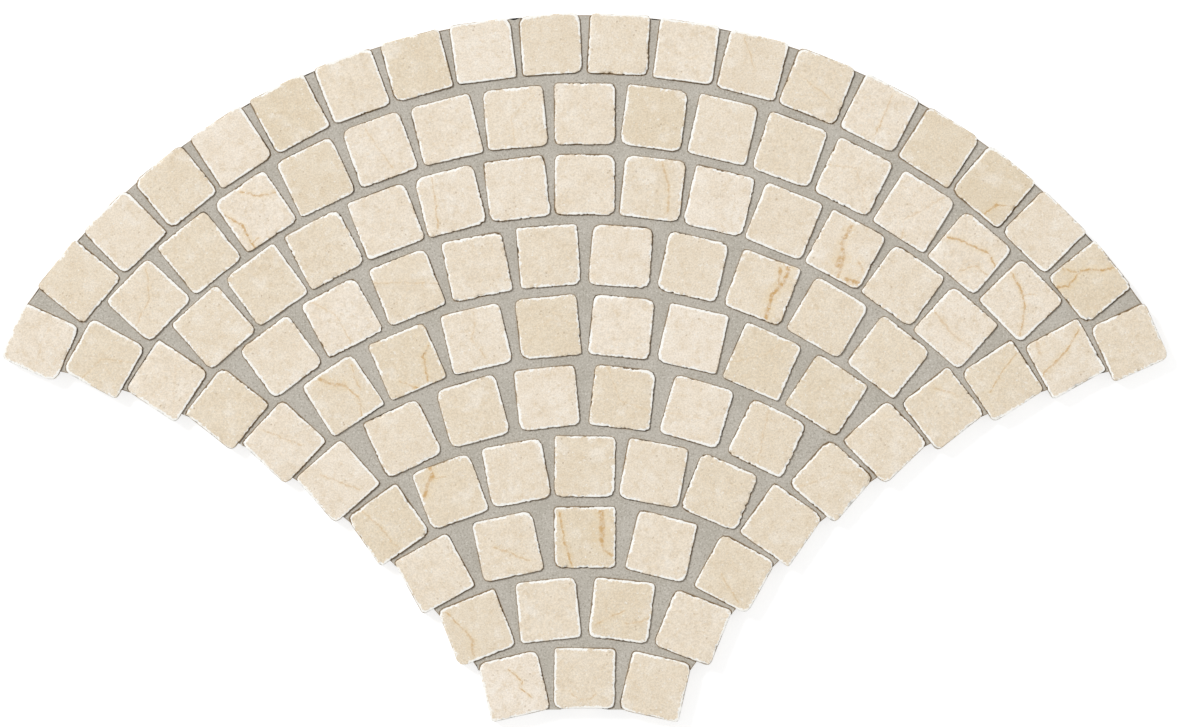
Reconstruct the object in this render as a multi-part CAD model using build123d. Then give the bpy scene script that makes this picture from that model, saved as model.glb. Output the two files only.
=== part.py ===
from build123d import *
from math import atan2, cos, degrees, floor, radians, sin
from random import Random
import os

# Fan mosaic sheet of tumbled marble stones.
# Arched courses of square stones open from a narrow foot into a fan, and a leaning stone
# closes each end of every course, so that the two sides run as concave borders.
# Grout fills the joints to just below the faces, and a thin net is bonded to the back.
# Millimetres, +Z up, faces up, +Y from the foot to the crown, origin under the middle.

# One stone, sawn square and then tumbled
STONE_SIDE = 30.5
STONE_THICKNESS = 10.0
EDGE_WEAR_MIN = 0.1     # tumbling takes at least this off a corner, along either side
EDGE_WEAR_MAX = 0.5     # and at most this
CORNER_ROUND_MIN = 1.2  # radius of the sharpest corner in plan
CORNER_ROUND_MAX = 4.0  # radius of the most worn corner in plan
ARRIS = 0.7             # worn edge around the face
WEAR_SEED = 7

# The fan, by the middles of its stones
COURSES = 10
COURSE_JOINT = 4.5      # between courses, on the fan's axis
END_JOINT = 0.2         # least joint between the end stones of two courses, before wear
TIGHT_JOINT = 0.6       # least joint in a course, between two stones' lower corners
FOOT_STONES = 3
FOOT_JOINT = 4.6        # between the foot's stones
FOOT_DROP = 4.1         # the foot's end stones lie this much lower than its middle one
FOOT_FLARE = 29.5       # angle from the axis at which a side leaves the foot
SIDE_RADIUS = 350.0     # concave side, through the end stones' middles
LEAN_STEP = 1.0         # end stones turn past their arch by this, times the courses below them
SET_TURN = 1.2          # the most that a stone laid by hand turns out of its arch

# Grout and net
GROUT_RECESS = 1.5      # from the faces down to the grout
GROUT_SETBACK = 0.8     # from the outer stones' edges in to the grout's edge
NET_THICKNESS = 0.6
NET_SETBACK = 4.2       # from the outer stones' edges in to the net's edge

COURSE_PITCH = STONE_SIDE + COURSE_JOINT
FACET_TURNS = (0, 45, 90)  # a corner's round in plan is two facets


def lean_room(lean):
    """How much further a leaning stone's corners reach than an upright one's sides."""
    return STONE_SIDE / 2 * (cos(lean) + sin(lean) - 1)


class Side:
    """The right concave side: an arc that leaves the foot's end stone and bends outwards."""

    def __init__(self):
        foot_x = (FOOT_STONES - 1) / 2 * (STONE_SIDE + FOOT_JOINT)
        self.foot = Vector(foot_x, -FOOT_DROP)
        self.centre = self.foot + Vector(SIDE_RADIUS, 0).rotate(Axis.Z, -FOOT_FLARE)

    def point(self, way):
        """The point at a way, in degrees about the side's centre, up from the foot."""
        return self.centre + (self.foot - self.centre).rotate(Axis.Z, -way)


class Course:
    """One arch of stones about a centre on the fan's axis, with an end stone at each side.

    The arch goes through its place on the axis and through its end stones' places on the sides.
    An end stone leans out of the arch. It drops and stands off by the room that this takes,
    so that its raised corner stays level with the arch and its neighbour stays clear.
    """

    def __init__(self, number, side, way):
        self.number = number
        self.way = way
        self.end = side.point(way)
        level = number * COURSE_PITCH
        lean = radians(number * LEAN_STEP)
        self.room = lean_room(lean)
        drop = level - self.end.Y
        self.radius = (self.end.X**2 + drop**2 - self.room**2) / (2 * (drop - self.room))
        self.centre = Vector(0, level - self.radius)
        self.end_angle = atan2(self.end.X, self.end.Y - self.centre.Y)
        self.end_turn = self.end_angle + lean

    def clears(self, below):
        """Whether the end stone keeps the end joint to the one below it."""
        up = Vector(sin(below.end_turn), cos(below.end_turn))
        skew = self.end_turn - below.end_turn
        half_stones = STONE_SIDE / 2 * (1 + cos(skew) + abs(sin(skew)))
        return (self.end - below.end).dot(up) - half_stones > END_JOINT

    def next_above(self, side):
        """The course above, with its end stones as far down the sides as the end joint lets them."""
        low = self.way
        high = self.way + degrees(2 * STONE_SIDE / SIDE_RADIUS)
        for _ in range(30):
            way = (low + high) / 2
            if Course(self.number + 1, side, way).clears(self):
                high = way
            else:
                low = way
        return Course(self.number + 1, side, high)

    def inner_angles(self):
        """Angles of the stones between the end stones: all that find room, and no fewer than in the foot."""
        reach = self.end_angle - self.room / self.radius
        lower_arc = 2 * reach * (self.radius - STONE_SIDE / 2)
        spaces = max(FOOT_STONES - 1, floor(lower_arc / (STONE_SIDE + TIGHT_JOINT)))
        return [reach * (2 * number / spaces - 1) for number in range(1, spaces)]

    def inner_middle(self, angle):
        """Middle of a stone on the arch, at an angle from the axis, positive to the right."""
        return self.centre + Vector(sin(angle), cos(angle)) * self.radius

    def end_middle(self, hand):
        """Middle of the end stone, with a hand of 1 for the right and -1 for the left."""
        return Vector(hand * self.end.X, self.end.Y)

    def inner_seat(self, angle, turn=0):
        return Pos(self.inner_middle(angle)) * Rot(Z=turn - degrees(angle))

    def end_seat(self, hand):
        return Pos(self.end_middle(hand)) * Rot(Z=-hand * degrees(self.end_turn))

    def end_point(self, across, up):
        """A point of the right end stone, from its middle."""
        return (self.end_seat(1) * Pos(across, up)).position


def fan_courses():
    """The courses from the foot up to the crown."""
    side = Side()
    courses = [Course(0, side, 0)]
    while len(courses) < COURSES:
        courses.append(courses[-1].next_above(side))
    return courses


def worn_square(wear):
    """Plan of one stone about its middle, with each corner worn back and rounded."""
    points = []
    for quarter in range(4):
        rounding = wear.uniform(CORNER_ROUND_MIN, CORNER_ROUND_MAX)
        round_x = STONE_SIDE / 2 - wear.uniform(EDGE_WEAR_MIN, EDGE_WEAR_MAX) - rounding
        round_y = STONE_SIDE / 2 - wear.uniform(EDGE_WEAR_MIN, EDGE_WEAR_MAX) - rounding
        for turn in FACET_TURNS:
            facet = Vector(rounding, 0).rotate(Axis.Z, turn) + Vector(round_x, round_y)
            points.append(facet.rotate(Axis.Z, 90 * quarter))
    return Polygon(*points, align=None)


def stone_plans(courses):
    """Every stone's plan in its place: a node for each course from the foot up, and for each border."""
    wear = Random(WEAR_SEED)
    seats = {}
    for number, course in enumerate(courses, 1):
        turned = [(angle, wear.uniform(-SET_TURN, SET_TURN)) for angle in course.inner_angles()]
        seats[f"course_{number:02d}"] = [course.inner_seat(angle, turn) for angle, turn in turned]
    seats["left_border"] = [course.end_seat(-1) for course in courses]
    seats["right_border"] = [course.end_seat(1) for course in courses]
    return {node: [seat * worn_square(wear) for seat in group] for node, group in seats.items()}


def sheet_plan(courses, setback):
    """The fan's plan, with its edge a setback inside the outer stones' edges.

    At the sides the edge passes each stone by its upper outer corner, which lies further in
    than the lower one, so that nothing shows beyond the stones.
    """
    foot, crown = courses[0], courses[-1]
    edge = STONE_SIDE / 2 - setback
    corner = STONE_SIDE / 2 - EDGE_WEAR_MAX - CORNER_ROUND_MAX
    right = [foot.end_point(across, -edge) for across in (-corner, corner)]
    right += [foot.end_point(edge, -corner)]
    right += [course.end_point(edge, corner) for course in courses]
    right += [crown.end_point(across, edge) for across in (corner, -corner)]
    left = [Vector(-point.X, point.Y) for point in reversed(right)]
    under = [(foot.inner_seat(angle) * Pos(0, -edge)).position for angle in foot.inner_angles()]
    over = [(crown.inner_seat(angle) * Pos(0, edge)).position for angle in reversed(crown.inner_angles())]
    return Polygon(*left, *under, *right, *over, align=None)


def tumbled_stone(plan):
    """One stone, with the worn edge around its face."""
    block = extrude(plan, STONE_THICKNESS)
    face = block.faces().sort_by(Axis.Z)[-1]
    return chamfer(face.edges(), ARRIS).solid()


def main():
    courses = fan_courses()
    plans = stone_plans(courses)
    all_plans = [plan for group in plans.values() for plan in group]
    middle = Compound(all_plans).bounding_box().center()
    on_floor = Pos(-middle.X, -middle.Y, 0)
    on_net = on_floor * Pos(Z=NET_THICKNESS)
    joints = sheet_plan(courses, GROUT_SETBACK) - all_plans

    stones = {node: [tumbled_stone(plan) for plan in group] for node, group in plans.items()}
    parts = {node: on_net * Compound(group) for node, group in stones.items()}
    parts["joint_grout"] = on_net * extrude(joints, STONE_THICKNESS - GROUT_RECESS)
    parts["backing_net"] = on_floor * extrude(sheet_plan(courses, NET_SETBACK), NET_THICKNESS)

    os.makedirs("parts", exist_ok=True)
    for node, shape in parts.items():
        export_step(shape, f"parts/{node}.step")


main()
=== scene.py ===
import bpy
import bmesh
from math import atan2, cos, pi, sin
from mathutils import Matrix, Vector, noise
from mathutils.bvhtree import BVHTree
from random import Random
from typing import NamedTuple


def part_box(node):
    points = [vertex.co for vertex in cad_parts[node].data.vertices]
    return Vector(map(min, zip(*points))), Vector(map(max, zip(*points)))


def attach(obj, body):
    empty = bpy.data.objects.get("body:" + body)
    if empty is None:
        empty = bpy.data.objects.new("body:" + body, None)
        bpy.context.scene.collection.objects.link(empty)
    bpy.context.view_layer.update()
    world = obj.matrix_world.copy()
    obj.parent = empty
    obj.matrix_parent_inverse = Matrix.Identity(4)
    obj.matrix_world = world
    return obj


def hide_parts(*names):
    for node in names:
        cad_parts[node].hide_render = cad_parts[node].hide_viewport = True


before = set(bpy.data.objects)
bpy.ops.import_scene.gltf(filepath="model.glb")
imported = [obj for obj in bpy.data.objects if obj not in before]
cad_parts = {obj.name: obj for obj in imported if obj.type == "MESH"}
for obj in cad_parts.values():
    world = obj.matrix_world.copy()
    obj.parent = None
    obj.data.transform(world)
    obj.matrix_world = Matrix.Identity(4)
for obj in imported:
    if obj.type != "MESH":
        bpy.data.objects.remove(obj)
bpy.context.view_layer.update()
scene = bpy.context.scene
MM = 0.001

# Levels of the sheet, from the net's underside up
NET_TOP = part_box("backing_net")[1].z
GROUT_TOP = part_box("joint_grout")[1].z
FACE_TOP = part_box("course_01")[1].z

# Rows of stones, each with its own seed, counted on from the first
STONE_NODES = [f"course_{number:02d}" for number in range(1, 11)] + ["left_border", "right_border"]
FIRST_SEED = 11

# Veins seen on single stones: the row, the stone's place in it from the left or, in a border, from the
# top, the width in millimetres, the strength, and the points that the vein runs through, in half stones
# to the right and up the sheet from the stone's middle
SEEN_VEINS = [
    ("course_01", 0, 0.6, 0.45, ((-0.5, -0.45), (-0.2, -0.75), (0.2, -0.75), (0.35, -0.55))),
    ("course_02", 1, 0.6, 0.5, ((-0.9, -0.5), (-0.35, -0.22), (0.1, -0.05))),
    ("course_02", 1, 0.7, 0.5, ((0.1, -0.45), (0.45, -0.45), (0.95, -0.25))),
    ("course_03", 0, 0.7, 0.5, ((-0.45, 0.0), (-0.05, -0.15), (0.3, -0.3), (0.7, -0.42))),
    ("course_03", 1, 2.3, 0.85, ((0.55, 0.85), (0.57, 0.34), (0.55, -0.14))),
    ("course_03", 1, 1.1, 0.65, ((0.55, -0.14), (0.58, -0.43), (0.93, -0.67))),
    ("course_03", 1, 0.8, 0.8, ((-0.85, 0.79), (-0.7, -0.14), (-0.43, -0.97))),
    ("course_04", 0, 1.5, 0.85, ((-0.71, 0.8), (-0.59, 0.52), (-0.78, 0.3), (-0.85, -0.2))),
    ("course_04", 0, 0.6, 0.4, ((-0.59, 0.46), (-0.16, 0.49))),
    ("course_06", 0, 1.3, 0.85, ((-0.78, 0.55), (-0.5, 0.43), (0.05, 0.37))),
    ("course_06", 0, 0.7, 0.6, ((0.05, 0.37), (0.55, -0.14), (0.61, -0.64))),
    ("course_06", 0, 0.6, 0.5, ((0.26, 1.02), (0.38, 0.61), (0.55, 0.19))),
    ("course_06", 1, 0.9, 0.8, ((0.72, 0.52), (0.52, 0.18), (0.61, -0.14), (0.69, -0.74))),
    ("course_06", 1, 0.7, 0.45, ((-0.25, -0.65), (0.26, -0.85))),
    ("course_06", 1, 1.0, 0.8, ((0.28, -0.83), (0.34, -0.84))),
    ("course_07", 7, 1.7, 0.9, ((0.89, 0.73), (0.7, 0.1), (0.34, -0.24), (0.12, -1.0))),
    ("course_07", 7, 1.2, 0.8, ((0.59, 0.59), (0.53, 0.09))),
    ("course_08", 4, 0.7, 0.5, ((-0.6, 0.8), (-0.4, -0.9))),
    ("course_08", 7, 0.9, 0.5, ((0.3, 0.9), (0.55, 0.1), (0.5, -0.8))),
    ("course_08", 10, 1.5, 0.75, ((0.26, 0.8), (-0.1, 0.15), (-0.03, -0.28), (-0.22, -0.95))),
    ("course_08", 10, 2.6, 0.85, ((-0.08, -0.3), (-0.25, -0.52))),
    ("course_08", 10, 1.4, 0.75, ((0.5, -0.45), (0.58, -0.65))),
    ("course_08", 10, 1.7, 0.85, ((0.05, -1.0), (0.45, -1.1))),
    ("course_09", 2, 0.7, 0.75, ((-0.52, 0.68), (0.09, 0.54), (0.7, 0.68))),
    ("course_09", 2, 0.9, 0.9, ((-1.1, -0.05), (-0.44, -0.46), (-0.08, -1.15))),
    ("course_09", 2, 0.6, 0.6, ((-0.08, -1.0), (0.09, -0.85))),
    ("course_09", 4, 0.5, 0.35, ((-0.5, 0.7), (0.4, -0.6))),
    ("course_09", 13, 0.9, 0.8, ((-0.74, 0.53), (-0.19, 0.38), (0.21, 0.18), (0.66, -0.02), (0.89, -0.45))),
    ("course_09", 13, 0.6, 0.45, ((-0.31, -0.62), (0.21, -0.42), (0.61, -0.73))),
    ("course_09", 14, 0.8, 0.75, ((-0.31, 0.91), (0.06, 0.31), (0.16, -0.15), (0.06, -0.72),
                                  (-0.02, -1.15))),
    ("course_09", 14, 0.6, 0.6, ((0.09, 0.17), (0.49, 0.2))),
    ("course_10", 11, 0.5, 0.4, ((-0.3, 0.9), (0.1, -0.2))),
    ("course_10", 12, 0.5, 0.35, ((-0.6, 0.4), (0.5, -0.5))),
    ("course_10", 13, 0.6, 0.5, ((0.4, 0.6), (0.15, 0.0), (-0.15, -0.7))),
    ("course_10", 15, 0.8, 0.75, ((-0.36, -0.9), (0.05, -0.6), (0.8, -0.65))),
    ("course_10", 17, 1.0, 0.9, ((-1.05, -0.2), (-0.73, -0.17), (-0.35, 0.29), (0, 0.4), (0.41, 0.34),
                                 (0.8, 0.46))),
    ("course_10", 17, 0.8, 0.7, ((-0.92, 0.37), (-0.48, 0.31))),
    ("left_border", 4, 0.6, 0.4, ((-0.7, 0.4), (0.6, -0.1))),
    ("left_border", 5, 0.6, 0.4, ((-0.6, 0.2), (0.7, -0.3))),
    ("left_border", 8, 0.7, 0.65, ((-1.05, 0.48), (-0.6, 0.09), (-0.18, -0.39), (-0.1, -0.93))),
    ("left_border", 8, 1.4, 0.5, ((-0.2, -0.35), (-0.12, -0.8))),
    ("left_border", 9, 0.6, 0.75, ((-0.16, 0.59), (0.25, 0.18), (0.2, -0.02), (0.57, -0.35))),
    ("right_border", 1, 0.8, 0.75, ((0.43, 0.97), (-0.05, 0.22), (-0.43, -0.18), (-0.79, -0.52))),
    ("right_border", 1, 1.8, 0.35, ((-0.97, 0.5), (-0.9, 0.25))),
    ("right_border", 2, 0.6, 0.55, ((0.49, 0.96), (0, 0.34), (-0.43, -0.38))),
    ("right_border", 3, 0.8, 0.45, ((-0.4, 0.7), (0.4, 0.5))),
    ("right_border", 7, 0.6, 0.45, ((-0.4, 0.0), (0.1, -0.9))),
]
VEIN_PIECES = 6  # the most straight pieces that the veins of one stone have
VEIN_LAYERS = [
    (f"vein_{piece}_from", f"vein_{piece}_to", f"vein_{piece}_force") for piece in range(VEIN_PIECES)
]


# Reading the carried-over solids

MERGE_REACH = 0.001 * MM
LEVEL_REACH = 0.1 * MM


def merged_copy(node):
    """A node's mesh as a bmesh with its loose triangles joined."""
    solid = bmesh.new()
    solid.from_mesh(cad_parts[node].data)
    bmesh.ops.remove_doubles(solid, verts=solid.verts[:], dist=MERGE_REACH)
    return solid


def separate_pieces(solid):
    """Lists of vertices, one list for each closed piece of a bmesh."""
    pieces = []
    seen = set()
    for start in solid.verts:
        if start in seen:
            continue
        seen.add(start)
        piece = [start]
        for vert in piece:
            for edge in vert.link_edges:
                other = edge.other_vert(vert)
                if other not in seen:
                    seen.add(other)
                    piece.append(other)
        pieces.append(piece)
    return pieces


def mean_point(points):
    return sum(points, Vector()) / len(points)


def stone_plans(node):
    """The plans of a row's stones, from the solid's back: left to right, or top to bottom in a border."""
    solid = merged_copy(node)
    plans = []
    for piece in separate_pieces(solid):
        plan = [vert.co.copy() for vert in piece if vert.co.z < NET_TOP + LEVEL_REACH]
        middle = mean_point(plan)
        plan.sort(key=lambda point: atan2(point.y - middle.y, point.x - middle.x))
        plans.append((-middle.y if node.endswith("border") else middle.x, plan))
    solid.free()
    plans.sort(key=lambda placed: placed[0])
    return [plan for _, plan in plans]


def grout_surface():
    """The grout's solid as a tree that gives the nearest point of it."""
    solid = merged_copy("joint_grout")
    tree = BVHTree.FromBMesh(solid)
    solid.free()
    return tree


def place_piece(mesh, finish, node):
    """Puts a finished mesh in the sheet, in place of its solid."""
    piece = bpy.data.objects.new(mesh.name, mesh)
    scene.collection.objects.link(piece)
    mesh.materials.clear()
    mesh.materials.append(finish)
    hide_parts(node)
    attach(piece, "root")


# Stones

HALF_STONE = 15 * MM
EDGE_STEP = 0.6 * MM  # between the points around a stone
ARRIS_ROUND = 0.5 * MM
ARRIS_STEPS = 4
ARRIS_FOOT = FACE_TOP - ARRIS_ROUND
WALL_LEVELS = (GROUT_TOP - 0.8 * MM, GROUT_TOP - 0.1 * MM, ARRIS_FOOT)
UNWORN_LEVEL = GROUT_TOP - 0.9 * MM  # below this the walls are as they were sawn
RING_START = 0.001 * MM  # a ring on the face is cut this far in, and then scaled
FACE_RINGS = ((0.98, 0.6), (0.955, 0.25), (0.91, 0.0), (0.65, 0.0), (0.36, 0.0))  # size, share of wear
FACE_SAG = 0.1 * MM  # the face lies this much lower than it was sawn
FACE_WAVES = 0.06 * MM  # and is uneven by this
FACE_TILT = 0.003  # spread of the faces' slopes
BULGE = 0.13  # sides swell by this between chips, in millimetres
FLAT_NODES = ("course_10", "left_border", "right_border")  # but not in these rows, which bound the sheet
SOIL_SHADE_NEAR = 1.2 * MM  # soil and painted shade of the joint cover a side this near to the grout
SOIL_SHADE_FAR = 2.0 * MM  # and end this far from it
EDGE_BRUISE_AND_HIGHLIGHT = 0.8  # every edge is whitened by this much, as bruising and painted highlight
CRUMBLING_BRUISE_AND_HIGHLIGHT = 0.6  # and a crumbling one by this much more
TONE_GATHERING = 2.2  # the more, the nearer most stones are to the middle tone
PATTERN_REACH = 3  # stones take their patterns from places up to this far off
NOISE_REACH = 90  # and their wear from places up to this far off
NOISE_ROUND = 15  # radius of the way around a stone in the wear's noise
CRUMBLING_PACE = 0.09  # how quickly crumbling comes and goes along the edge
STAIN_PACE = 0.07  # the same for stains
WAVE_PACE = 0.1  # the same for the face's waves


def ramp(value, start, end):
    """A smooth rise from 0 at the start to 1 at the end, which may be less than the start."""
    share = min(1.0, max(0.0, (value - start) / (end - start)))
    return share * share * (3 - 2 * share)


def random_shift(wear, reach):
    """A seeded step to another place in a noise."""
    return Vector((wear.uniform(-reach, reach), wear.uniform(-reach, reach), wear.uniform(-reach, reach)))


class Bite(NamedTuple):
    """What tumbling takes off an edge, by a noise around the stone. Lengths are in millimetres."""
    pace: float  # how quickly it comes and goes along the edge
    start: float  # noise at which it starts
    full: float  # noise at which it is full
    inward: float  # taken off the side
    down: float  # taken off the face's edge
    bruise_and_highlight: float  # how much it whitens the edge, as bruising and painted highlight

    def size(self, around):
        return ramp(noise.noise(around * self.pace), self.start, self.full)


NICK = Bite(0.22, 0.1, 0.55, inward=0.4, down=0.25, bruise_and_highlight=0.4)
CHIP = Bite(0.75, 0.15, 0.55, inward=0.55, down=0.35, bruise_and_highlight=0.5)
CRUMB = Bite(1.5, 0.05, 0.5, inward=0.2, down=0.1, bruise_and_highlight=0.2)


def plan_face(plan):
    """A bmesh with a stone's plan as its one face, closely divided around its edge."""
    stone = bmesh.new()
    for name in ("edge_wear_and_highlight", "soil_and_joint_shade", "stain", "tone"):
        stone.verts.layers.float.new(name)
    stone.verts.layers.float_vector.new("stone_shift")
    for start, end, force in VEIN_LAYERS:
        stone.verts.layers.float_vector.new(start)
        stone.verts.layers.float_vector.new(end)
        stone.verts.layers.float.new(force)
    stone.faces.new([stone.verts.new(point) for point in plan])
    for edge in stone.edges[:]:
        cuts = max(2, round(edge.calc_length() / EDGE_STEP) - 1)
        bmesh.ops.subdivide_edges(stone, edges=[edge], cuts=cuts)
    bmesh.ops.smooth_vert(stone, verts=stone.verts[:], factor=0.5, use_axis_x=True, use_axis_y=True)
    for edge in stone.edges:
        edge.smooth = False
    return stone


def raise_walls(stone, worn):
    """Extrudes the plan up to the arris and gives the face that is then on top."""
    top = stone.faces[:][0]
    for level in WALL_LEVELS:
        grown = bmesh.ops.extrude_face_region(stone, geom=[top])["geom"]
        top = [part for part in grown if isinstance(part, bmesh.types.BMFace)][0]
        for vert in top.verts:
            vert.co.z = level
            vert[worn] = ramp(level, UNWORN_LEVEL, ARRIS_FOOT)
        for edge in top.edges:
            edge.smooth = True
    stone.normal_update()
    return top


def round_arris(stone, top, worn):
    for step in range(ARRIS_STEPS):
        low = pi / 2 * step / ARRIS_STEPS
        high = pi / 2 * (step + 1) / ARRIS_STEPS
        bmesh.ops.inset_region(
            stone,
            faces=[top],
            thickness=ARRIS_ROUND * (cos(low) - cos(high)),
            depth=ARRIS_ROUND * (sin(high) - sin(low)),
            use_even_offset=True,
        )
        for vert in top.verts:
            vert[worn] = 1.0


def ring_face(stone, top, worn):
    """Divides the face into rings and gives the stone's middle."""
    middle = mean_point([vert.co for vert in top.verts])
    last = 1.0
    for size, share in FACE_RINGS:
        bmesh.ops.inset_region(stone, faces=[top], thickness=RING_START)
        bmesh.ops.scale(
            stone,
            vec=(size / last, size / last, 1),
            verts=top.verts[:],
            space=Matrix.Translation(-middle),
        )
        for vert in top.verts:
            vert[worn] = share
        last = size
    hub = bmesh.ops.poke(stone, faces=[top])["verts"][0]
    hub[worn] = 0.0
    return middle


def faint_vein(wear):
    """Width, strength and points of a vein across a stone, mostly too weak to see."""
    turn = wear.uniform(0, 2 * pi)
    far = turn + pi + wear.uniform(-0.9, 0.9)
    bend = (wear.uniform(-0.3, 0.3), wear.uniform(-0.3, 0.3))
    ends = [(1.1 * cos(heading), 1.1 * sin(heading)) for heading in (turn, far)]
    return wear.uniform(0.4, 0.8), 0.4 * wear.random() ** 4, (ends[0], bend, ends[1])


def vein_pieces(veins, middle):
    """Start, end and strength of each straight piece. The points' height is half the vein's width."""
    pieces = []
    for width, strength, points in veins:
        places = [middle + HALF_STONE * Vector((*point, 0)) for point in points]
        for place in places:
            place.z = width / 2 * MM
        pieces += [(start, end, strength) for start, end in zip(places, places[1:])]
    return pieces


def mark_stone(stone, node, place, middle, wear):
    """Values that the marble reads: its own patch of pattern, the stone's tone and its veins."""
    veins = [vein[2:] for vein in SEEN_VEINS if vein[:2] == (node, place)] or [faint_vein(wear)]
    vectors = stone.verts.layers.float_vector
    numbers = stone.verts.layers.float
    marks = [(vectors["stone_shift"], random_shift(wear, PATTERN_REACH))]
    marks += [(numbers["tone"], wear.betavariate(TONE_GATHERING, TONE_GATHERING))]
    for (start, end, force), piece in zip(VEIN_LAYERS, vein_pieces(veins, middle)):
        marks += zip((vectors[start], vectors[end], numbers[force]), piece)
    for vert in stone.verts:
        for layer, value in marks:
            vert[layer] = value


def wear_stone(stone, middle, wear, bulge, grout):
    """Tumbling: edges pulled in unevenly, chips along them and a slightly uneven, tilted face."""
    worn, soil_and_joint_shade, stain = [stone.verts.layers.float[name] for name in ("edge_wear_and_highlight", "soil_and_joint_shade", "stain")]
    shift = random_shift(wear, NOISE_REACH)
    ragged = wear.uniform(0.3, 1.0)
    tilt = Vector((wear.gauss(0, FACE_TILT), wear.gauss(0, FACE_TILT), 0))
    for vert in stone.verts:
        out = Vector((vert.co.x - middle.x, vert.co.y - middle.y, 0))
        heading = out.normalized()
        around = heading * NOISE_ROUND + shift
        bites = [(bite, ragged * bite.size(around)) for bite in (NICK, CHIP)]
        bites += [(CRUMB, CRUMB.size(around))]
        crumbling = ramp(noise.noise(around * CRUMBLING_PACE - shift), 0.0, 0.3)
        stained = ramp(noise.noise(around * STAIN_PACE + shift), 0.1, 0.3)
        edge = vert[worn]
        depth = FACE_TOP - vert.co.z
        from_grout = grout.find_nearest(vert.co)[3]
        below_arris = ramp(depth, 0.8 * ARRIS_ROUND, 1.4 * ARRIS_ROUND)
        on_face = 1 - ramp(depth, 0, 0.6 * ARRIS_ROUND)
        # brown soil and painted shade of the joint, on the walls below the arris near the grout
        vert[soil_and_joint_shade] = below_arris * ramp(from_grout, SOIL_SHADE_FAR, SOIL_SHADE_NEAR)
        vert[stain] = edge * stained * ramp(depth, 0, 0.4 * ARRIS_ROUND)
        bruise_and_highlight = sum(bite.bruise_and_highlight * size for bite, size in bites)
        inward = sum(bite.inward * size for bite, size in bites)
        down = sum(bite.down * size for bite, size in bites)
        # the edge's whiteness: bruising and a painted highlight of the arris
        vert[worn] = edge * (EDGE_BRUISE_AND_HIGHLIGHT + bruise_and_highlight + CRUMBLING_BRUISE_AND_HIGHLIGHT * crumbling)
        vert.co -= heading * edge * (inward - bulge) * MM
        vert.co.z -= edge * down * MM
        sag = FACE_SAG + FACE_WAVES * noise.noise((out / MM + shift) * WAVE_PACE)
        vert.co.z -= on_face * (sag + tilt.dot(out) + tilt.length * out.length)


def stone_row(node, finish, wear, grout):
    """All stones of one course or border as one piece."""
    row = bmesh.new()
    mesh = bpy.data.meshes.new(node + "_stones")
    for place, plan in enumerate(stone_plans(node)):
        stone = plan_face(plan)
        worn = stone.verts.layers.float["edge_wear_and_highlight"]
        top = raise_walls(stone, worn)
        round_arris(stone, top, worn)
        middle = ring_face(stone, top, worn)
        mark_stone(stone, node, place, middle, wear)
        wear_stone(stone, middle, wear, 0 if node in FLAT_NODES else BULGE, grout)
        for face in stone.faces:
            face.smooth = True
        stone.to_mesh(mesh)
        stone.free()
        row.from_mesh(mesh)
    row.to_mesh(mesh)
    row.free()
    place_piece(mesh, finish, node)


# Grout

RIM_WIDTH = 0.6 * MM
RIM_DEPTH = 0.15 * MM


def grout_body(finish):
    """The joint grout, with a fine groove where it meets each stone."""
    grout = merged_copy("joint_grout")
    rim = grout.verts.layers.float.new("rim")
    for vert in grout.verts:
        vert[rim] = 1.0
    grout.normal_update()
    skin = [face for face in grout.faces if face.normal.z > 0.9]
    bmesh.ops.inset_region(
        grout, faces=skin, thickness=RIM_WIDTH, depth=RIM_DEPTH, use_boundary=True, use_even_offset=True
    )
    for face in skin:
        for vert in face.verts:
            vert[rim] = 0.0
    mesh = bpy.data.meshes.new("grout_joints")
    grout.to_mesh(mesh)
    grout.free()
    place_piece(mesh, finish, "joint_grout")


# Net

STRAND_PITCH = 5 * MM
STRAND_WIDTH = 1.1 * MM
STRAND_THICKNESS = 0.28 * MM


def net_outline():
    """The net's edge, as pairs of points on its underside."""
    sheet = merged_copy("backing_net")
    sheet.normal_update()
    under = {face for face in sheet.faces if face.normal.z < -0.9}
    edges = {edge for face in under for edge in face.edges}
    rim = [edge for edge in edges if len(under.intersection(edge.link_faces)) == 1]
    pairs = [(edge.verts[0].co.copy(), edge.verts[1].co.copy()) for edge in rim]
    sheet.free()
    return pairs


def crossings(outline, axis, level):
    """Where a line across the net at a level meets its edge, from low to high."""
    along = 1 - axis
    found = []
    for start, end in outline:
        if (start[axis] > level) != (end[axis] > level):
            share = (level - start[axis]) / (end[axis] - start[axis])
            found.append(start[along] + share * (end[along] - start[along]))
    return sorted(found)


def strand(net, axis, number, low, high):
    """One flat strand of the net, woven over and under the strands it crosses."""
    steps = max(2, round((high - low) / (STRAND_PITCH / 2)))
    lay = bmesh.ops.create_grid(net, x_segments=steps, y_segments=1, size=0.5)["verts"]
    bmesh.ops.scale(net, vec=(high - low, STRAND_WIDTH, 1), verts=lay)
    bmesh.ops.translate(net, vec=((low + high) / 2, number * STRAND_PITCH, 0), verts=lay)
    height = NET_TOP - STRAND_THICKNESS
    for vert in lay:
        crossing = vert.co.x / STRAND_PITCH
        over = cos(pi * (crossing + number + axis))
        vert.co.z = height * (0.5 - 0.5 * over)
    if axis == 0:
        bmesh.ops.transform(net, matrix=Matrix(((0, 1, 0), (1, 0, 0), (0, 0, 1))), verts=lay)


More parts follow.
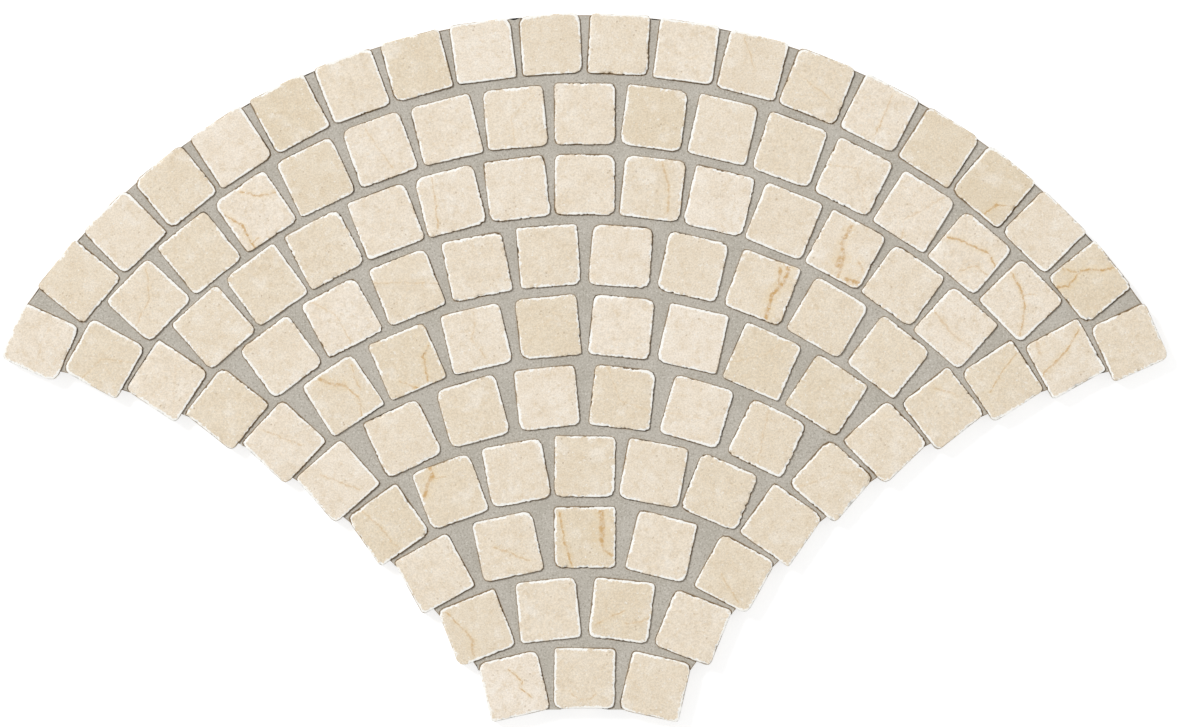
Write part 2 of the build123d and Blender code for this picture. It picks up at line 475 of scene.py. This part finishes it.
def woven_net(finish):
    """The carrier net on the stones' backs."""
    outline = net_outline()
    net = bmesh.new()
    for axis in (0, 1):
        levels = [point[axis] for pair in outline for point in pair]
        for number in range(int(min(levels) / STRAND_PITCH), int(max(levels) / STRAND_PITCH) + 1):
            ends = crossings(outline, axis, number * STRAND_PITCH)
            for low, high in zip(ends[::2], ends[1::2]):
                if high - low > STRAND_PITCH:
                    strand(net, axis, number, low, high)
    net.normal_update()
    for face in net.faces:
        if face.normal.z < 0:
            face.normal_flip()
    bmesh.ops.solidify(net, geom=net.faces[:], thickness=-STRAND_THICKNESS)
    mesh = bpy.data.meshes.new("net_strands")
    net.to_mesh(mesh)
    net.free()
    place_piece(mesh, finish, "backing_net")


# Finishes

class Finish:
    """A material and short ways to add and join its nodes."""

    def __init__(self, name):
        self.material = bpy.data.materials.new(name)
        self.material.use_nodes = True
        self.nodes = self.material.node_tree.nodes
        self.links = self.material.node_tree.links
        self.shader = self.nodes["Principled BSDF"]
        self.place = self.add("ShaderNodeTexCoord").outputs["Object"]

    def add(self, kind, values=None, **settings):
        """A node with its settings and its inputs, each a value or another node's output."""
        node = self.nodes.new(kind)
        for name, setting in settings.items():
            setattr(node, name, setting)
        for name, value in (values or {}).items():
            self.feed(node.inputs[name], value)
        return node

    def feed(self, socket, value):
        if isinstance(value, bpy.types.NodeSocket):
            self.links.new(value, socket)
        else:
            socket.default_value = value

    def sums(self, operation, *values, **settings):
        """A number from two others."""
        node = self.add("ShaderNodeMath", dict(enumerate(values)), operation=operation, **settings)
        return node.outputs[0]

    def greatest(self, values):
        result = values[0]
        for value in values[1:]:
            result = self.sums("MAXIMUM", result, value)
        return result

    def vectors(self, operation, *values, output="Vector"):
        """A vector, or its value, from two others."""
        node = self.add("ShaderNodeVectorMath", operation=operation)
        for number, value in enumerate(values):
            name = "Scale" if operation == "SCALE" and number else number
            self.feed(node.inputs[name], value)
        return node.outputs[output]

    def read(self, name, output="Fac"):
        return self.add("ShaderNodeAttribute", attribute_name=name).outputs[output]

    def cloud(self, place, scale, detail=2.0, rough=0.5, output="Fac"):
        values = {"Vector": place, "Scale": scale, "Detail": detail, "Roughness": rough}
        return self.add("ShaderNodeTexNoise", values).outputs[output]

    def slope(self, value, low, high, start=0.0, end=1.0):
        """A smooth step from start to end as a value goes from low to high."""
        values = {"Value": value, "From Min": low, "From Max": high, "To Min": start, "To Max": end}
        return self.add("ShaderNodeMapRange", values, interpolation_type="SMOOTHSTEP").outputs["Result"]

    def blend(self, share, first, second, way="MIX"):
        """One colour over another."""
        node = self.add("ShaderNodeMix", data_type="RGBA", blend_type=way)
        self.feed(node.inputs["Factor"], share)
        self.feed(node.inputs[6], first)
        self.feed(node.inputs[7], second)
        return node.outputs[2]

    def upward(self, vector):
        """A point's height, or how far a normal faces up."""
        return self.add("ShaderNodeSeparateXYZ", {0: vector}).outputs["Z"]

    def relief(self, height, distance, strength=1.0, under=None):
        values = {"Height": height, "Distance": distance, "Strength": strength}
        if under is not None:
            values["Normal"] = under
        return self.add("ShaderNodeBump", values).outputs["Normal"]


def srgb(red, green, blue):
    """A colour as a screen shows it, from 0 to 255, for a shader's socket."""
    steps = [level / 255 for level in (red, green, blue)]
    linear = [step / 12.92 if step <= 0.04045 else ((step + 0.055) / 1.055) ** 2.4 for step in steps]
    return (*linear, 1.0)


# Colours of the marble
CREAM_DEEP = srgb(231, 216, 190)
CREAM_PALE = srgb(248, 237, 222)
PATCH_BEIGE = srgb(222, 202, 171)
CLOUD_WHITE = srgb(248, 240, 227)
FLECK_BEIGE = srgb(220, 199, 167)
VEIN_HALO = srgb(234, 207, 156)
VEIN_TAN = srgb(198, 152, 82)
PIT_BROWN = srgb(172, 147, 112)
# White of bruised edges and of the painted highlight on the rounded arris
BRUISE_AND_HIGHLIGHT_WHITE = srgb(255, 254, 249)
# Brown of soil together with painted shade, where the stones' walls go down into the joints
SOIL_AND_JOINT_SHADE_BROWN = srgb(156, 124, 76)
STAIN_BROWN = srgb(146, 116, 70)

# Colours of the grout, the net and the floor
GROUT_GREY = srgb(184, 178, 166)
GROUT_PALE = srgb(193, 187, 176)
SAND_PALE = srgb(222, 217, 207)
SAND_DARK = srgb(136, 128, 114)
# Brown of dirt and painted gap shade in the grout's groove at each stone
DIRT_AND_GAP_SHADE_BROWN = srgb(132, 99, 48)
# Near-black painted shade of deep gaps between stone and grout
PAINTED_GAP_DARK = srgb(56, 46, 33)
FIBRE_GREY = srgb(214, 212, 204)
FIBRE_WHITE = srgb(240, 239, 233)
FLOOR_GREY = srgb(190, 190, 190)

VEIN_WANDER = 4.5 * MM  # how far a vein strays from its straight pieces


def vein_masks(finish, place):
    """Core and halo of a stone's veins, each from 0 to 1. Their points carry the half width as height."""
    wander = finish.vectors("SUBTRACT", finish.cloud(place, 170, 7, 0.74, "Color"), (0.5, 0.5, 0.5))
    spot = finish.vectors("ADD", finish.place, finish.vectors("SCALE", wander, VEIN_WANDER))
    spot = finish.vectors("MULTIPLY", spot, (1, 1, 0))
    cores = []
    halos = []
    for start_name, end_name, force_name in VEIN_LAYERS:
        start = finish.read(start_name, "Vector")
        course = finish.vectors("SUBTRACT", finish.read(end_name, "Vector"), start)
        offset = finish.vectors("SUBTRACT", spot, start)
        along = finish.vectors("DOT_PRODUCT", offset, course, output="Value")
        square = finish.vectors("DOT_PRODUCT", course, course, output="Value")
        share = finish.sums("DIVIDE", along, square, use_clamp=True)
        nearest = finish.vectors("ADD", start, finish.vectors("SCALE", course, share))
        away = finish.vectors("DISTANCE", spot, nearest, output="Value")
        widths_away = finish.sums("DIVIDE", away, finish.upward(nearest))
        force = finish.read(force_name)
        cores.append(finish.sums("MULTIPLY", finish.slope(widths_away, 2.0, 1.0), force))
        halos.append(finish.sums("MULTIPLY", finish.slope(widths_away, 7.0, 1.2), force))
    blotch = finish.slope(finish.cloud(place, 380, 5, 0.7), 0.36, 0.6, 0.22, 1.0)
    return [finish.sums("MULTIPLY", finish.greatest(masks), blotch) for masks in (cores, halos)]


def marble_ground(finish, place):
    """The marble's colour without veins: its tone, patches, pale clouds, flecks and grain."""
    tone = finish.blend(finish.read("tone"), CREAM_DEEP, CREAM_PALE)
    patch = finish.slope(finish.cloud(place, 120, 4, 0.6), 0.32, 0.68, 0.0, 0.32)
    colour = finish.blend(patch, tone, PATCH_BEIGE)
    pale = finish.slope(finish.cloud(place, 90, 3, 0.55), 0.52, 0.72, 0.0, 0.5)
    colour = finish.blend(pale, colour, CLOUD_WHITE)
    fleck = finish.slope(finish.cloud(place, 330, 4, 0.65), 0.48, 0.72, 0.0, 0.5)
    colour = finish.blend(fleck, colour, FLECK_BEIGE)
    grain = finish.slope(finish.cloud(place, 1250, 3, 0.75), 0.3, 0.7, 0.86, 1.1)
    grain_colour = finish.add("ShaderNodeCombineColor", {0: grain, 1: grain, 2: grain}).outputs[0]
    return finish.blend(1.0, colour, grain_colour, "MULTIPLY")


def pit_mask(finish, place, worn):
    """Small pits in some places, and more of them along the edges."""
    cells = finish.add("ShaderNodeTexVoronoi", {"Vector": place, "Scale": 420.0}).outputs["Distance"]
    at_edge = finish.sums("MULTIPLY", worn, 0.1)
    sparse = finish.slope(finish.sums("ADD", finish.cloud(place, 140), at_edge), 0.56, 0.66)
    return finish.sums("MULTIPLY", finish.slope(cells, 0.28, 0.1), sparse)


def bruise_and_highlight_mask(finish, place, worn):
    """White bruises and a painted highlight along the worn edges, ragged and here and there spared."""
    ragged = finish.slope(finish.cloud(place, 700, 4, 0.7), 0.25, 0.75, -0.6, 0.5)
    spared = finish.slope(finish.cloud(place, 75, 3, 0.6), 0.36, 0.62, -0.9, 0.5)
    bruised_and_highlit = finish.sums("ADD", worn, ragged)
    bruised_and_highlit = finish.sums("ADD", bruised_and_highlit, finish.sums("MULTIPLY", spared, worn))
    return finish.slope(bruised_and_highlit, 0.2, 0.65, 0.0, 0.92)


def marble_finish():
    finish = Finish("tumbled_marble")
    place = finish.vectors("ADD", finish.place, finish.read("stone_shift", "Vector"))
    worn = finish.read("edge_wear_and_highlight")
    vein, halo = vein_masks(finish, place)
    pits = pit_mask(finish, place, worn)

    colour = marble_ground(finish, place)
    colour = finish.blend(finish.sums("MULTIPLY", halo, 0.42), colour, VEIN_HALO)
    colour = finish.blend(finish.sums("MULTIPLY", vein, 0.92), colour, VEIN_TAN)
    colour = finish.blend(finish.sums("MULTIPLY", pits, 0.45), colour, PIT_BROWN)
    # bruised white edges with a painted highlight on the rounded arris
    colour = finish.blend(bruise_and_highlight_mask(finish, place, worn), colour, BRUISE_AND_HIGHLIGHT_WHITE)
    # brown soil and painted shade on the walls where they go down into the joints
    colour = finish.blend(finish.sums("MULTIPLY", finish.read("soil_and_joint_shade"), 0.85), colour, SOIL_AND_JOINT_SHADE_BROWN)
    colour = finish.blend(finish.sums("MULTIPLY", finish.read("stain"), 0.85), colour, STAIN_BROWN)
    finish.feed(finish.shader.inputs["Base Color"], colour)

    dull = finish.slope(finish.cloud(place, 300, 3, 0.6), 0.3, 0.7, 0.5, 0.68)
    finish.feed(finish.shader.inputs["Roughness"], dull)
    fine = finish.relief(finish.cloud(place, 1500, 3, 0.65), 0.03 * MM, 0.6)
    pitted = finish.relief(finish.sums("SUBTRACT", 1.0, pits), 0.12 * MM, 0.8, fine)
    finish.feed(finish.shader.inputs["Normal"], pitted)
    return finish.material


def sanded_grout():
    finish = Finish("sanded_grout")
    sand = finish.cloud(finish.place, 1100, 3, 0.75)
    patch = finish.cloud(finish.place, 70, 3, 0.5)
    colour = finish.blend(finish.slope(patch, 0.3, 0.7), GROUT_GREY, GROUT_PALE)
    colour = finish.blend(finish.slope(sand, 0.52, 0.72, 0.0, 0.8), colour, SAND_PALE)
    colour = finish.blend(finish.slope(sand, 0.48, 0.28, 0.0, 0.8), colour, SAND_DARK)

    upper = finish.slope(finish.upward(finish.add("ShaderNodeNewGeometry").outputs["Normal"]), 0.3, 0.7)
    rim = finish.sums("MULTIPLY", finish.read("rim"), upper)
    # brown in the groove at each stone: dirt, and painted shade of the gap
    dirt_and_gap_shade = finish.slope(finish.cloud(finish.place, 55, 3, 0.6), 0.35, 0.65, 0.75, 1.0)
    colour = finish.blend(finish.sums("MULTIPLY", rim, dirt_and_gap_shade), colour, DIRT_AND_GAP_SHADE_BROWN)
    # near-black painted shade of deep gaps at some stones
    painted_gap_dark = finish.slope(finish.cloud(finish.place, 42, 3, 0.6), 0.58, 0.65)
    colour = finish.blend(finish.sums("MULTIPLY", rim, painted_gap_dark), colour, PAINTED_GAP_DARK)

    finish.feed(finish.shader.inputs["Base Color"], colour)
    finish.shader.inputs["Roughness"].default_value = 0.92
    finish.feed(finish.shader.inputs["Normal"], finish.relief(sand, 0.12 * MM, 0.7))
    return finish.material


def glass_net():
    finish = Finish("glass_fibre_net")
    fibre = finish.cloud(finish.place, 2600, 2, 0.6)
    colour = finish.blend(finish.slope(fibre, 0.3, 0.7), FIBRE_GREY, FIBRE_WHITE)
    finish.feed(finish.shader.inputs["Base Color"], colour)
    finish.shader.inputs["Roughness"].default_value = 0.55
    finish.feed(finish.shader.inputs["Normal"], finish.relief(fibre, 0.06 * MM, 0.6))
    return finish.material


# Floor, light and camera, in metres and watts

FLOOR_HALF = 4
FLOOR_GLOW = 0.72  # what the floor needs over its lit colour to look white
KEY_PLACE = (-7.5, 6.5, 10.0)
KEY_SIZE = 3.5
KEY_POWER = 1280
SKY_STRENGTH = 0.52

# The view is straight down through a long lens: this width at the stones' faces fills the picture
VIEW_WIDTH = 585.7 * MM
VIEW_MIDDLE = (2.9 * MM, 1.85 * MM)
VIEW_HEIGHT = 6.0
SENSOR_WIDTH = 36


def white_floor():
    """A floor that looks white in the view and still takes the sheet's shadow."""
    mesh = bpy.data.meshes.new("floor")
    plate = bmesh.new()
    bmesh.ops.create_grid(plate, x_segments=1, y_segments=1, size=FLOOR_HALF)
    plate.to_mesh(mesh)
    plate.free()
    floor = bpy.data.objects.new("floor", mesh)
    scene.collection.objects.link(floor)
    finish = Finish("floor_white")
    finish.shader.inputs["Base Color"].default_value = FLOOR_GREY
    finish.shader.inputs["Roughness"].default_value = 0.9
    finish.shader.inputs["Emission Color"].default_value = (1, 1, 1, 1)
    ray = finish.add("ShaderNodeLightPath").outputs
    seen = finish.greatest([ray["Is Camera Ray"], ray["Is Glossy Ray"], ray["Is Transmission Ray"]])
    finish.feed(finish.shader.inputs["Emission Strength"], finish.sums("MULTIPLY", seen, FLOOR_GLOW))
    mesh.materials.append(finish.material)


def key_light():
    """A square lamp that faces the middle of the sheet."""
    lamp = bpy.data.lights.new("key", "AREA")
    lamp.size = KEY_SIZE
    lamp.energy = KEY_POWER
    holder = bpy.data.objects.new("key", lamp)
    holder.location = KEY_PLACE
    holder.rotation_euler = (-Vector(KEY_PLACE)).to_track_quat("-Z", "Y").to_euler()
    scene.collection.objects.link(holder)


def white_sky():
    scene.world = bpy.data.worlds.new("studio")
    scene.world.use_nodes = True
    sky = scene.world.node_tree.nodes["Background"].inputs
    sky["Color"].default_value = (1, 1, 1, 1)
    sky["Strength"].default_value = SKY_STRENGTH


def camera_above():
    lens = bpy.data.cameras.new("above")
    lens.sensor_fit = "HORIZONTAL"
    lens.sensor_width = SENSOR_WIDTH
    lens.lens = SENSOR_WIDTH * (VIEW_HEIGHT - FACE_TOP) / VIEW_WIDTH
    lens.clip_end = 50
    camera = bpy.data.objects.new("above", lens)
    camera.location = (*VIEW_MIDDLE, VIEW_HEIGHT)
    scene.collection.objects.link(camera)
    scene.camera = camera


# The sheet and its stage

marble = marble_finish()
grout_near = grout_surface()
for count, stone_node in enumerate(STONE_NODES):
    stone_row(stone_node, marble, Random(FIRST_SEED + count), grout_near)
grout_body(sanded_grout())
woven_net(glass_net())
white_floor()
key_light()
white_sky()
camera_above()
scene.view_settings.view_transform = "Standard"
